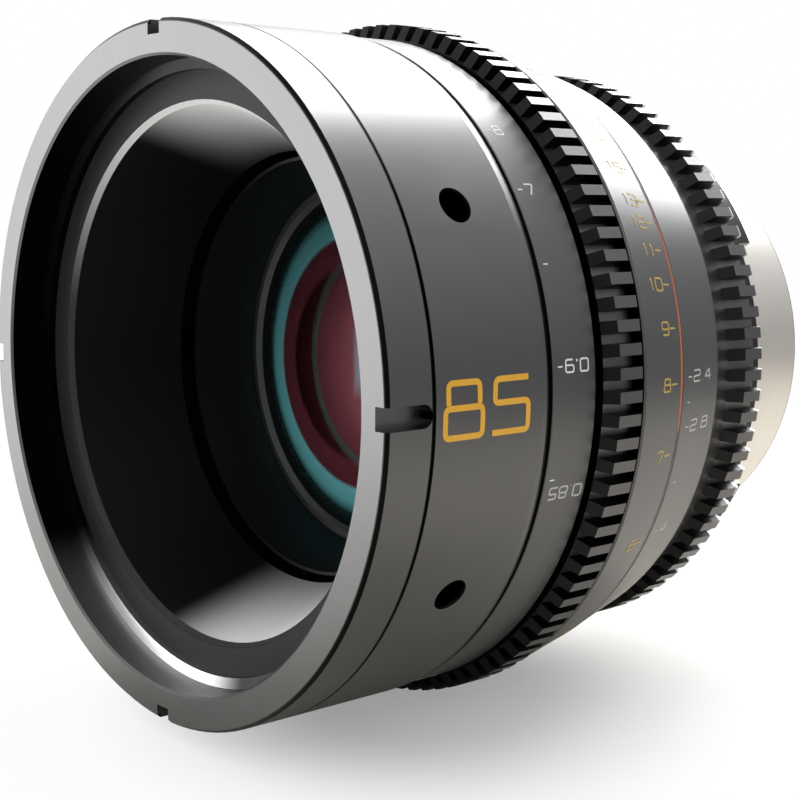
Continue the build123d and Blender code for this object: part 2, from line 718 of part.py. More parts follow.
with BuildPart() as front_spacer:
    turn((element_one_rim_end_at, front_spacer_inner_r), (element_one_rim_end_at, element_one_r),
         (element_step_at, element_one_r), (element_step_at, element_two_r),
         (front_spacer_end_at, element_two_r), (front_spacer_end_at, front_spacer_inner_r))

with BuildPart() as element_two:
    element(element_two_r, element_two_rim_at, element_two_front_curve, element_two_clear_r,
            doublet_joint_at, doublet_joint_curve, element_two_r)

with BuildPart() as element_three:
    element(element_two_r, doublet_joint_at, doublet_joint_curve, element_two_r,
            front_cell_stop_at, element_three_rear_curve, element_three_clear_r)

with BuildPart() as rear_carrier:
    turn((rear_carrier_at, rear_mouth_r), (rear_carrier_at, carrier_bore_r), (carrier_end_at, carrier_bore_r),
         (carrier_end_at, rear_tube_r), (rear_tube_end_at, rear_tube_r), (rear_tube_end_at, rear_element_r),
         (rear_step_at, rear_element_r), (rear_step_at, element_four_r), (rear_seat_at, element_four_r),
         (rear_seat_at, rear_mouth_r))

with BuildPart() as element_four:
    element(element_four_r, rear_seat_at, element_four_front_curve, element_four_clear_r,
            rear_joint_at, rear_joint_curve, element_four_r)

with BuildPart() as element_five:
    element(element_four_r, rear_joint_at, rear_joint_curve, element_four_r,
            rear_step_at, element_five_rear_curve, element_five_clear_r)

with BuildPart() as rear_spacer:
    turn((rear_step_at, rear_spacer_inner_r), (rear_step_at, rear_element_r),
         (rear_spacer_end_at, rear_element_r), (rear_spacer_end_at, rear_spacer_inner_r))

with BuildPart() as rear_element:
    element(rear_element_r, rear_spacer_end_at, rear_element_front_curve, rear_element_front_clear_r,
            rear_retainer_at, rear_element_rear_curve, rear_element_rear_clear_r)

with BuildPart() as rear_retainer:
    turn((rear_retainer_at, rear_retainer_inner_r), (rear_retainer_at, rear_element_r),
         (rear_retainer_end_at, rear_element_r), (rear_retainer_end_at, rear_retainer_inner_r))

# Iris. Each blade turns on its own shaft in the seat plate; a crank on the shaft carries a pin that
# runs in a spiral slot of the cam ring, so that the ring's whole turn swings the blade by blade_turn.
crank_start = 90 - blade_turn / 2


def crank_pin(progress):
    # Radius and angle of the crank pin in the cam ring, for a share of the ring's turn
    swing = radians(crank_start + blade_turn * progress)
    up = blade_pivot_r + crank_length * cos(swing)
    along = crank_length * sin(swing)
    ring_turn = radians(iris_turn * progress)
    return (up * cos(ring_turn) - along * sin(ring_turn), up * sin(ring_turn) + along * cos(ring_turn))


def slot_side(side):
    corners = []
    samples = 16
    spare = cam_slot_overtravel / (blade_pivot_r * radians(iris_turn))
    for sample in range(samples + 1):
        progress = -spare + (1 + 2 * spare) * sample / samples
        before = crank_pin(progress - spare / 2)
        after = crank_pin(progress + spare / 2)
        run = (after[0] - before[0], after[1] - before[1])
        length = sqrt(run[0] * run[0] + run[1] * run[1])
        middle = crank_pin(progress)
        corners.append((middle[0] - side * cam_slot_r * run[1] / length,
                        middle[1] + side * cam_slot_r * run[0] / length))
    return corners


left = slot_side(1)
right = slot_side(-1)
right.reverse()
with BuildSketch() as cam_ring_slot:
    with BuildLine():
        Spline(*left)
        Line(left[-1], right[0])
        Spline(*right)
        Line(right[-1], left[0])
    make_face()

with BuildPart() as iris_cam_ring:
    turn((cam_ring_at, cam_ring_inner_r), (cam_ring_at, carrier_bore_r - running_fit),
         (cam_ring_end_at, carrier_bore_r - running_fit), (cam_ring_end_at, cam_ring_inner_r))
    with BuildSketch(across(cam_ring_at - overrun)):
        with PolarLocations(0, blade_count):
            add(cam_ring_slot.sketch)
    extrude(amount=cam_ring_end_at - cam_ring_at + 2 * overrun, mode=Mode.SUBTRACT)
    spoke(drive_pin_r, drive_pin_start_r, carrier_bore_r + overrun, fork_angle, drive_pin_at, mode=Mode.SUBTRACT)

with BuildPart() as iris_drive_pin:
    spoke(drive_pin_r, drive_pin_start_r, fork_outer_r - side_gap, fork_angle, drive_pin_at)

with BuildPart() as iris_plate:
    turn((iris_plate_at, stop_r), (iris_plate_at, carrier_bore_r), (iris_plate_end_at, carrier_bore_r),
         (iris_plate_end_at, stop_r))
    with BuildSketch(across(iris_plate_at - overrun)):
        with PolarLocations(blade_pivot_r, blade_count):
            Circle(blade_shaft_r + running_fit)
    extrude(amount=iris_plate_end_at - iris_plate_at + 2 * overrun, mode=Mode.SUBTRACT)
    for angle in iris_screw_angles:
        peg(iris_screw_r, iris_screw_circle_r, angle, iris_screw_tip_at, iris_plate_end_at + overrun,
            mode=Mode.SUBTRACT)

with BuildPart() as iris_cover:
    turn((iris_plate_end_at, cover_rim_r), (iris_plate_end_at, carrier_bore_r),
         (rear_carrier_at, carrier_bore_r), (rear_carrier_at, stop_r), (cover_plate_at, stop_r),
         (cover_plate_at, cover_rim_r))
    for angle in iris_screw_angles:
        peg(iris_screw_r, iris_screw_circle_r, angle, iris_plate_end_at - overrun, rear_carrier_at + overrun,
            mode=Mode.SUBTRACT)
        peg(iris_screw_head_r, iris_screw_circle_r, angle, rear_carrier_at - iris_screw_head_depth - side_gap,
            rear_carrier_at + overrun, mode=Mode.SUBTRACT)

with BuildPart() as iris_screws:
    iris_head_top_at = rear_carrier_at - side_gap
    for angle in iris_screw_angles:
        peg(iris_screw_r, iris_screw_circle_r, angle, iris_screw_tip_at, iris_head_top_at)
        peg(iris_screw_head_r, iris_screw_circle_r, angle, iris_head_top_at - iris_screw_head_depth,
            iris_head_top_at)


def blade(number):
    # Leaf in its own layer, shaft through the seat plate, crank and pin in front of the plate
    angle = number * 360 / blade_count
    leaf_at = blade_first_at + number * blade_pitch
    pivot = radians(angle)
    pivot_point = (blade_pivot_r * cos(pivot), blade_pivot_r * sin(pivot))
    swing = radians(angle + crank_start)
    pin_point = (pivot_point[0] + crank_length * cos(swing), pivot_point[1] + crank_length * sin(swing))
    middle = ((pivot_point[0] + pin_point[0]) / 2, (pivot_point[1] + pin_point[1]) / 2)
    with BuildPart() as leaf:
        with BuildSketch(across(leaf_at)):
            with BuildLine():
                inner = CenterArc((0, 0), blade_inner_r, angle + blade_start_angle,
                                  blade_end_angle - blade_start_angle)
                outer = CenterArc((0, 0), blade_outer_r, angle + blade_start_angle,
                                  blade_end_angle - blade_start_angle)
                Line(inner @ 0, outer @ 0)
                Line(inner @ 1, outer @ 1)
            make_face()
            with Locations(pivot_point):
                Circle(blade_ear_r)
        extrude(amount=blade_thickness)
        with BuildSketch(across(crank_at)):
            with Locations(pivot_point):
                Circle(blade_shaft_r)
        extrude(amount=leaf_at + blade_thickness - crank_at)
        with BuildSketch(across(crank_at)):
            with Locations(middle):
                SlotCenterToCenter(crank_length, crank_width, rotation=angle + crank_start)
        extrude(amount=crank_end_at - crank_at)
        with BuildSketch(across(crank_pin_at)):
            with Locations(pin_point):
                Circle(crank_pin_r)
        extrude(amount=crank_end_at - crank_pin_at)
    return leaf


pieces = {
    "front_ring": front_ring,
    "front_hood": front_hood,
    "front_barrel": front_barrel,
    "side_screws": side_screws,
    "main_barrel": main_barrel,
    "front_washer": front_washer,
    "focus_stop_pin": focus_stop_pin,
    "index_ring": index_ring,
    "iris_retainer": iris_retainer,
    "rear_guide_bush": rear_guide_bush,
    "mount_shim": mount_shim,
    "mount_flange": mount_flange,
    "mount_screws": mount_screws,
    "rear_baffle": rear_baffle,
    "focus_ring": focus_ring,
    "cam_sleeve": cam_sleeve,
    "cam_screws": cam_screws,
    "iris_ring": iris_ring,
    "iris_fork": iris_fork,
    "fork_screw": fork_screw,
    "lens_carrier": lens_carrier,
    "cam_followers": cam_followers,
    "front_cell": front_cell,
    "front_retainer": front_retainer,
    "element_one": element_one,
    "front_spacer": front_spacer,
    "element_two": element_two,
    "element_three": element_three,
    "rear_carrier": rear_carrier,
    "element_four": element_four,
    "element_five": element_five,
    "rear_spacer": rear_spacer,
    "rear_element": rear_element,
    "rear_retainer": rear_retainer,
    "iris_cam_ring": iris_cam_ring,
    "iris_drive_pin": iris_drive_pin,
    "iris_plate": iris_plate,
    "iris_cover": iris_cover,
    "iris_screws": iris_screws,
}
for number in range(blade_count):
    pieces["iris_blade_" + str(number + 1)] = blade(number)

os.makedirs("parts", exist_ok=True)
for label, piece in pieces.items():
    piece.part.label = label
    export_step(piece.part, "parts/" + label + ".step")
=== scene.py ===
import math

import bmesh
import bpy
from mathutils import Matrix, Vector


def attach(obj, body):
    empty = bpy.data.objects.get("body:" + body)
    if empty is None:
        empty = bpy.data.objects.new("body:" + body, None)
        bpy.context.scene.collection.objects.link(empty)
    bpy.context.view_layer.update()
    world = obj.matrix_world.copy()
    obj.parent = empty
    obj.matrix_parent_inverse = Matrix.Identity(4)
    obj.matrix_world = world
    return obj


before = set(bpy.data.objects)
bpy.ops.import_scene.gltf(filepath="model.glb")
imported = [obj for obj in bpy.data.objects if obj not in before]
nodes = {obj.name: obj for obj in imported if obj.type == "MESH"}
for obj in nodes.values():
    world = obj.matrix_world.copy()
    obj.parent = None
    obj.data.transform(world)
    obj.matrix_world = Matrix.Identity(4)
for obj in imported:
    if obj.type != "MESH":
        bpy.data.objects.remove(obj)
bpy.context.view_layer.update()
mm = 0.001
# The lens axis is Y and its front faces -Y. A station is a distance behind the front face, and the
# mount seat is at Y 0.
seatDepth = 68.0 * mm


def linear(code):
    # sRGB hex to linear colour
    parts = [int(code[i:i + 2], 16) / 255 for i in (1, 3, 5)]
    return [c / 12.92 if c <= 0.04045 else ((c + 0.055) / 1.055) ** 2.4 for c in parts] + [1.0]


def addNode(tree, kind, links=None, out=0, **settings):
    # One node with its settings and links; gives back one of its outputs, or the node where out is None
    node = tree.nodes.new(kind)
    for name, value in settings.items():
        setattr(node, name, value)
    for socket, source in (links or {}).items():
        if isinstance(source, bpy.types.NodeSocket):
            tree.links.new(source, node.inputs[socket])
        else:
            node.inputs[socket].default_value = source
    return node if out is None else node.outputs[out]


def newMaterial(name):
    # An empty material, its tree and the coordinates of the piece that wears it
    material = bpy.data.materials.new(name)
    material.use_nodes = True
    tree = material.node_tree
    tree.nodes.clear()
    return material, tree, addNode(tree, "ShaderNodeTexCoord", out="Object")


def fillRamp(node, stops):
    # stops: (position, colour)
    elements = node.color_ramp.elements
    while len(elements) < len(stops):
        elements.new(0.5)
    for element, (position, colour) in zip(elements, stops):
        element.position = position
    for element, (position, colour) in zip(elements, stops):
        element.color = colour


def radiusAndStation(tree, place):
    # Distance from the axis and distance behind the front face, both in mm
    split = addNode(tree, "ShaderNodeSeparateXYZ", {0: place}, out=None)
    flat = addNode(tree, "ShaderNodeCombineXYZ", {0: split.outputs[0], 2: split.outputs[2]})
    reach = addNode(tree, "ShaderNodeVectorMath", {0: flat}, out="Value", operation="LENGTH")
    radius = addNode(tree, "ShaderNodeMath", {0: reach, 1: 1 / mm}, operation="MULTIPLY")
    station = addNode(tree, "ShaderNodeMath", {0: split.outputs[1], 1: 1 / mm, 2: seatDepth / mm},
                      operation="MULTIPLY_ADD")
    return radius, station


def band(tree, value, low, high, soft=0.02):
    # 1 between two values in mm, 0 outside
    rise = addNode(tree, "ShaderNodeMapRange", {0: value, 1: low - soft, 2: low + soft})
    fall = addNode(tree, "ShaderNodeMapRange", {0: value, 1: high - soft, 2: high + soft, 3: 1.0, 4: 0.0})
    return addNode(tree, "ShaderNodeMath", {0: rise, 1: fall}, operation="MULTIPLY")


def zoneMask(tree, radius, station, radii, stations):
    # 1 on the part of a turned piece between two radii and two stations
    across, along = band(tree, radius, *radii), band(tree, station, *stations)
    return addNode(tree, "ShaderNodeMath", {0: across, 1: along}, operation="MINIMUM")


def outwards(tree, place):
    # Direction from the axis
    split = addNode(tree, "ShaderNodeSeparateXYZ", {0: place}, out=None)
    flat = addNode(tree, "ShaderNodeCombineXYZ", {0: split.outputs[0], 2: split.outputs[2]})
    return addNode(tree, "ShaderNodeVectorMath", {0: flat}, operation="NORMALIZE")


def towards(tree, place, angle, reach):
    # 1 on the side at an angle from the top towards +X, falling to 0 between the two cosines of reach
    turn = math.radians(angle)
    way = (math.sin(turn), 0, math.cos(turn))
    side = addNode(tree, "ShaderNodeVectorMath", {0: outwards(tree, place), 1: way}, out="Value",
                   operation="DOT_PRODUCT")
    return addNode(tree, "ShaderNodeMapRange", {0: side, 1: reach[0], 2: reach[1]},
                   interpolation_type="SMOOTHSTEP")


def turningMarks(tree, place, across, along):
    # Noise that is fine along the axis (in metres) and drawn out round it (in radians)
    split = addNode(tree, "ShaderNodeSeparateXYZ", {0: place}, out=None)
    turned = addNode(tree, "ShaderNodeMath", {0: split.outputs[0], 1: split.outputs[2]},
                     operation="ARCTAN2")
    where = addNode(tree, "ShaderNodeCombineXYZ", {0: turned, 1: split.outputs[1]})
    sized = addNode(tree, "ShaderNodeVectorMath", {0: where, 1: (1 / along, 1 / across, 1)},
                    operation="MULTIPLY")
    return addNode(tree, "ShaderNodeTexNoise", {"Vector": sized, "Scale": 1.0, "Detail": 2.0,
                                                "Roughness": 0.5}, out="Fac")


print("materials")
# Aluminium, bead-blasted and anodised dark grey: satin, with soft broad highlights. Joints and the
# inside are black. Tooth flanks and ends get a painted shade nearly as dark, the wall of the filter
# thread a painted highlight underneath, and the rear bevel of the iris gear a pale painted highlight.
satinLook = {
    "colour": "#656566", "worn": "#6b6b6c", "black": "#0b0b0c", "edge": "#161617", "flankShade": "#2c2c2d",
    "gearBevelHighlight": "#d4d4d5", "recess": "#1a1a1b", "recessUnderHighlight": "#d0d0d1", "recessAngle": 198.0,
    "recessReach": (0.83, 1.0), "flankFacing": (0.72, 0.8), "roughness": (0.31, 0.38),
    "grainMm": 0.12, "patchMm": 9.0, "turningMm": 0.05, "turningArc": 0.6, "reliefMm": 0.0008,
}


def satinAluminium(name, zones, teeth=None):
    # zones: (radii, stations, colour key), laid over the satin one after another; teeth: (radii, stations)
    look = satinLook
    material, tree, place = newMaterial(name)
    radius, station = radiusAndStation(tree, place)
    grain = addNode(tree, "ShaderNodeTexNoise", {"Vector": place, "Scale": 1 / (look["grainMm"] * mm),
                                                 "Detail": 3.0, "Roughness": 0.6}, out="Fac")
    patch = addNode(tree, "ShaderNodeTexNoise", {"Vector": place, "Scale": 1 / (look["patchMm"] * mm),
                                                 "Detail": 2.0, "Roughness": 0.6}, out="Fac")
    turning = turningMarks(tree, place, look["turningMm"] * mm, look["turningArc"])
    colour = addNode(tree, "ShaderNodeMix", {0: patch, 6: linear(look["colour"]), 7: linear(look["worn"])},
                     out=2, data_type="RGBA")
    rough = addNode(tree, "ShaderNodeMapRange", {0: patch, 3: look["roughness"][0],
                                                 4: look["roughness"][1]})
    for radii, stations, zoneColour in zones:
        zone = zoneMask(tree, radius, station, radii, stations)
        shade = linear(look[zoneColour])
        # The wall of the filter thread gets a painted highlight underneath
        if zoneColour == "recess":
            highlightUnder = towards(tree, place, look["recessAngle"], look["recessReach"])
            shade = addNode(tree, "ShaderNodeMix", {0: highlightUnder, 6: shade, 7: linear(look["recessUnderHighlight"])},
                            out=2, data_type="RGBA")
        colour = addNode(tree, "ShaderNodeMix", {0: zone, 6: colour, 7: shade}, out=2, data_type="RGBA")
    if teeth:
        # Painted shade: the ends and flanks of the teeth are darker; their lands and the floor between them
        # stay satin
        flat = addNode(tree, "ShaderNodeNewGeometry", out="True Normal")
        flat = addNode(tree, "ShaderNodeVectorTransform", {0: flat}, vector_type="NORMAL",
                       convert_from="WORLD", convert_to="OBJECT")
        facing = addNode(tree, "ShaderNodeVectorMath", {0: flat, 1: outwards(tree, place)}, out="Value",
                         operation="DOT_PRODUCT")
        low, high = look["flankFacing"]
        flankShade = addNode(tree, "ShaderNodeMapRange", {0: facing, 1: low, 2: high, 3: 1.0, 4: 0.0})
        flankShade = addNode(tree, "ShaderNodeMath", {0: zoneMask(tree, radius, station, *teeth), 1: flankShade},
                        operation="MINIMUM")
        colour = addNode(tree, "ShaderNodeMix", {0: flankShade, 6: colour, 7: linear(look["flankShade"])},
                         out=2, data_type="RGBA")
    height = addNode(tree, "ShaderNodeMath", {0: grain, 1: turning}, operation="ADD")
    relief = addNode(tree, "ShaderNodeBump", {"Height": height, "Distance": look["reliefMm"] * mm})
    shader = addNode(tree, "ShaderNodeBsdfPrincipled", {
        "Base Color": colour, "Metallic": 1.0, "Roughness": rough, "Normal": relief})
    addNode(tree, "ShaderNodeOutputMaterial", {"Surface": shader}, out=None)
    return material


# Aluminium, turned and dyed black: deep black with a thin sheen along the turning marks
blackLook = {"fleck": "#151516", "metallic": 0.35, "spread": (-0.04, 0.06), "dustMm": 0.4,
             "turningArc": 0.8, "reliefMm": 0.0015}


def blackAluminium(name, colour, roughness, turningMm=0.15):
    look = blackLook
    material, tree, place = newMaterial(name)
    turning = turningMarks(tree, place, turningMm * mm, look["turningArc"])
    dust = addNode(tree, "ShaderNodeTexNoise", {"Vector": place, "Scale": 1 / (look["dustMm"] * mm),
                                                "Detail": 3.0, "Roughness": 0.6}, out="Fac")
    tint = addNode(tree, "ShaderNodeMix", {0: dust, 6: linear(colour), 7: linear(look["fleck"])},
                   out=2, data_type="RGBA")
    rough = addNode(tree, "ShaderNodeMapRange", {0: dust, 3: roughness + look["spread"][0],
                                                 4: roughness + look["spread"][1]})
    relief = addNode(tree, "ShaderNodeBump", {"Height": turning, "Distance": look["reliefMm"] * mm})
    shader = addNode(tree, "ShaderNodeBsdfPrincipled", {
        "Base Color": tint, "Metallic": look["metallic"], "Roughness": rough, "Normal": relief})
    addNode(tree, "ShaderNodeOutputMaterial", {"Surface": shader}, out=None)
    return material


# Aluminium hood, turned and dyed black: black at the sides of its cone, a painted highlight as a grey
# gleam at the top and the bottom, and a bevel round its mouth with a pale painted highlight towards the
# top. The turning marks are drawn coarser than real ones, so that they show. Radii and stations are in mm.
hoodLook = {
    "black": "#060607", "ledge": "#2b2b2c", "bevel": "#3b3b3c", "bevelTopHighlight": "#f0f0f0", "gleam": "#f4f4f5",
    "roughness": 0.48, "specular": 0.14, "turningMm": 0.3, "turningArc": 0.8, "reliefMm": 0.0008,
    "coneRadii": (20.0, 31.1), "ledgeRadii": (31.55, 36.0),
    "bevelRadii": (31.0, 31.55), "bevelStations": (5.72, 6.48), "bevelAngle": 10.0,
    "bevelReach": (0.0, 1.0),
    "topAngle": 18.0, "topReach": (0.68, 1.0), "topStations": (6.5, 20.5), "topShare": (1.0, 0.0),
    "bottomAngle": 161.0, "bottomReach": (0.82, 1.0), "bottomStations": (7.0, 21.0),
    "bottomShare": (0.9, 0.2),
}


def turnedHood(name):
    look = hoodLook
    material, tree, place = newMaterial(name)
    radius, station = radiusAndStation(tree, place)
    # Painted highlight: a grey gleam at the top and the bottom of the cone, fading with depth
    gleams = []
    for end in ("top", "bottom"):
        (near, deep), (most, least) = look[end + "Stations"], look[end + "Share"]
        fade = addNode(tree, "ShaderNodeMapRange", {0: station, 1: near, 2: deep, 3: most, 4: least})
        side = towards(tree, place, look[end + "Angle"], look[end + "Reach"])
        gleams.append(addNode(tree, "ShaderNodeMath", {0: side, 1: fade}, operation="MULTIPLY"))
    gleam = addNode(tree, "ShaderNodeMath", {0: gleams[0], 1: gleams[1]}, operation="MAXIMUM")
    gleam = addNode(tree, "ShaderNodeMath", {0: gleam, 1: band(tree, radius, *look["coneRadii"])},
                    operation="MULTIPLY")
    # Painted highlight on the bevel round the mouth, palest towards the top
    bevel = zoneMask(tree, radius, station, look["bevelRadii"], look["bevelStations"])
    rim = addNode(tree, "ShaderNodeMix", {
        0: towards(tree, place, look["bevelAngle"], look["bevelReach"]), 6: linear(look["bevel"]),
        7: linear(look["bevelTopHighlight"])}, out=2, data_type="RGBA")
    tint = addNode(tree, "ShaderNodeMix", {0: gleam, 6: linear(look["black"]), 7: linear(look["gleam"])},
                   out=2, data_type="RGBA")
    tint = addNode(tree, "ShaderNodeMix", {0: band(tree, radius, *look["ledgeRadii"]), 6: tint,
                                           7: linear(look["ledge"])}, out=2, data_type="RGBA")
    tint = addNode(tree, "ShaderNodeMix", {0: bevel, 6: tint, 7: rim}, out=2, data_type="RGBA")
    turning = turningMarks(tree, place, look["turningMm"] * mm, look["turningArc"])
    relief = addNode(tree, "ShaderNodeBump", {"Height": turning, "Distance": look["reliefMm"] * mm})
    shader = addNode(tree, "ShaderNodeBsdfPrincipled", {
        "Base Color": tint, "Roughness": look["roughness"], "Specular IOR Level": look["specular"],
        "Normal": relief})
    addNode(tree, "ShaderNodeOutputMaterial", {"Surface": shader}, out=None)
    return material


# Turned metal, such as stainless steel or bronze: bright, with fine lines left by the tool
turnedLook = {"patchMm": 5.0, "turningMm": 0.12, "turningArc": 1.2, "spread": (-0.05, 0.07),
              "reliefMm": 0.0012}


def turnedMetal(name, colours, roughness, edges=()):
    # edges: (radii, stations, colour)
    look = turnedLook
    material, tree, place = newMaterial(name)
    turning = turningMarks(tree, place, look["turningMm"] * mm, look["turningArc"])
    patch = addNode(tree, "ShaderNodeTexNoise", {"Vector": place, "Scale": 1 / (look["patchMm"] * mm),
                                                 "Detail": 2.0, "Roughness": 0.6}, out="Fac")
    tint = addNode(tree, "ShaderNodeMix", {0: patch, 6: linear(colours[0]), 7: linear(colours[1])},
                   out=2, data_type="RGBA")
    radius, station = radiusAndStation(tree, place)
    for radii, stations, colour in edges:
        edge = zoneMask(tree, radius, station, radii, stations)
        tint = addNode(tree, "ShaderNodeMix", {0: edge, 6: tint, 7: linear(colour)}, out=2,
                       data_type="RGBA")
    rough = addNode(tree, "ShaderNodeMapRange", {0: turning, 3: roughness + look["spread"][0],
                                                 4: roughness + look["spread"][1]})
    relief = addNode(tree, "ShaderNodeBump", {"Height": turning, "Distance": look["reliefMm"] * mm})
    shader = addNode(tree, "ShaderNodeBsdfPrincipled", {
        "Base Color": tint, "Metallic": 1.0, "Roughness": rough, "Normal": relief})
    addNode(tree, "ShaderNodeOutputMaterial", {"Surface": shader}, out=None)
    return material


def mottled(name, colours, roughness, grainMm, reliefMm):
    # Two close colours in small grains, with a slight relief: brushed paint or moulded plastic
    material, tree, place = newMaterial(name)
    grain = addNode(tree, "ShaderNodeTexNoise", {"Vector": place, "Scale": 1 / (grainMm * mm),
                                                 "Detail": 3.0, "Roughness": 0.6}, out="Fac")
    tint = addNode(tree, "ShaderNodeMix", {0: grain, 6: linear(colours[0]), 7: linear(colours[1])},
                   out=2, data_type="RGBA")
    relief = addNode(tree, "ShaderNodeBump", {"Height": grain, "Distance": reliefMm * mm})
    shader = addNode(tree, "ShaderNodeBsdfPrincipled", {
        "Base Color": tint, "Roughness": roughness, "Normal": relief})
    addNode(tree, "ShaderNodeOutputMaterial", {"Surface": shader}, out=None)
    return material


# Orange paint in the joint between the two scales, over the arc that is read, and satin metal beyond
# it. Angles are in degrees from the top towards +X.
indexLook = {"orange": ("#b5673f", "#a85c36"), "metal": "#6b6b6c", "rise": (58.0, 66.0),
             "fall": (97.0, 98.0), "roughness": 0.45, "grainMm": 0.5, "reliefMm": 0.003}


def indexPaint(name):
    look = indexLook
    material, tree, place = newMaterial(name)
    split = addNode(tree, "ShaderNodeSeparateXYZ", {0: place}, out=None)
    turned = addNode(tree, "ShaderNodeMath", {0: split.outputs[0], 1: split.outputs[2]},
                     operation="ARCTAN2")
    angle = addNode(tree, "ShaderNodeMath", {0: turned}, operation="DEGREES")
    rise = addNode(tree, "ShaderNodeMapRange", {0: angle, 1: look["rise"][0], 2: look["rise"][1]})
    fall = addNode(tree, "ShaderNodeMapRange", {0: angle, 1: look["fall"][0], 2: look["fall"][1],
                                                3: 1.0, 4: 0.0})
    painted = addNode(tree, "ShaderNodeMath", {0: rise, 1: fall}, operation="MINIMUM")
    grain = addNode(tree, "ShaderNodeTexNoise", {"Vector": place, "Scale": 1 / (look["grainMm"] * mm),
                                                 "Detail": 3.0, "Roughness": 0.6}, out="Fac")
    orange = addNode(tree, "ShaderNodeMix", {0: grain, 6: linear(look["orange"][0]),
                                             7: linear(look["orange"][1])}, out=2, data_type="RGBA")
    colour = addNode(tree, "ShaderNodeMix", {0: painted, 6: linear(look["metal"]), 7: orange},
                     out=2, data_type="RGBA")
    metallic = addNode(tree, "ShaderNodeMath", {0: 1.0, 1: painted}, operation="SUBTRACT")
    relief = addNode(tree, "ShaderNodeBump", {"Height": grain, "Distance": look["reliefMm"] * mm})
    shader = addNode(tree, "ShaderNodeBsdfPrincipled", {
        "Base Color": colour, "Metallic": metallic, "Roughness": look["roughness"], "Normal": relief})
    addNode(tree, "ShaderNodeOutputMaterial", {"Surface": shader}, out=None)
    return material


def coatingRings(tree, radius, rings):
    # Colour of a coating, laid out in rings as painted reflections, and the share of light it throws back;
    # rings: (radius in mm, colour, share)
    last = rings[-1][0]
    along = addNode(tree, "ShaderNodeMath", {0: radius, 1: last}, operation="DIVIDE")
    tint = addNode(tree, "ShaderNodeValToRGB", {0: along}, out=None)
    fillRamp(tint, [(reach / last, linear(colour)) for reach, colour, share in rings])
    amount = addNode(tree, "ShaderNodeValToRGB", {0: along}, out=None)
    fillRamp(amount, [(reach / last, (share, share, share, 1)) for reach, colour, share in rings])
    return tint.outputs[0], amount.outputs[0]


# Optical glass, polished and coated: clear, with a coloured gleam that changes from the middle outwards. The
# rings of colour are the coatings' tints laid out as painted reflections, and the diffuse haze shows them
# under any lamp.
glassLook = {"roughness": 0.04, "haze": 0.35, "clear": "#f7f9fa"}


def coatedGlass(name, rings):
    look = glassLook
    material, tree, place = newMaterial(name)
    radius = radiusAndStation(tree, place)[0]
    tint, share = coatingRings(tree, radius, rings)
    gleam = addNode(tree, "ShaderNodeBsdfPrincipled", {
        "Base Color": tint, "Metallic": 1.0, "Roughness": look["roughness"]})
    haze = addNode(tree, "ShaderNodeBsdfDiffuse", {"Color": tint})
    coat = addNode(tree, "ShaderNodeMixShader", {0: look["haze"], 1: gleam, 2: haze})
    clear = addNode(tree, "ShaderNodeBsdfTransparent", {"Color": linear(look["clear"])})
    glass = addNode(tree, "ShaderNodeMixShader", {0: share, 1: clear, 2: coat})
    addNode(tree, "ShaderNodeOutputMaterial", {"Surface": glass}, out=None)
    return material


# First element: the tints of its coatings laid out as painted reflections, teal at the rim of the front
# one with dark red inside it, and magenta on the rear one with a pale ring round it and a painted blue
# reflection of a window. Stations and places are in mm.
firstGlassLook = {
    "front": [(0.0, "#7a3a44", 0.03), (11.9, "#84404a", 0.03), (12.8, "#84404a", 0.55),
              (15.8, "#783a44", 0.65), (16.4, "#84dee6", 0.85), (18.6, "#78d4da", 0.85),
              (20.2, "#27403e", 0.8), (22.0, "#1c2a29", 0.8)],
    "rear": [(0.0, "#d8808f", 0.72), (14.1, "#cc7080", 0.72), (14.6, "#9fb2aa", 0.75),
             (15.3, "#8fa39b", 0.75), (15.8, "#7a3a44", 0.75), (20.5, "#6a343c", 0.75)],
    "middleStation": 32.6, "dimHeight": (26.0, -9.0), "dimLeast": 0.25, "dark": "#0d1016",
    "windowX": (-5.5, -3.4, 0.9), "windowZ": (-3.0, 1.4, 2.6), "window": "#d2f0ff",
    "roughness": 0.22, "haze": 0.6, "clear": "#f9fafa",
}


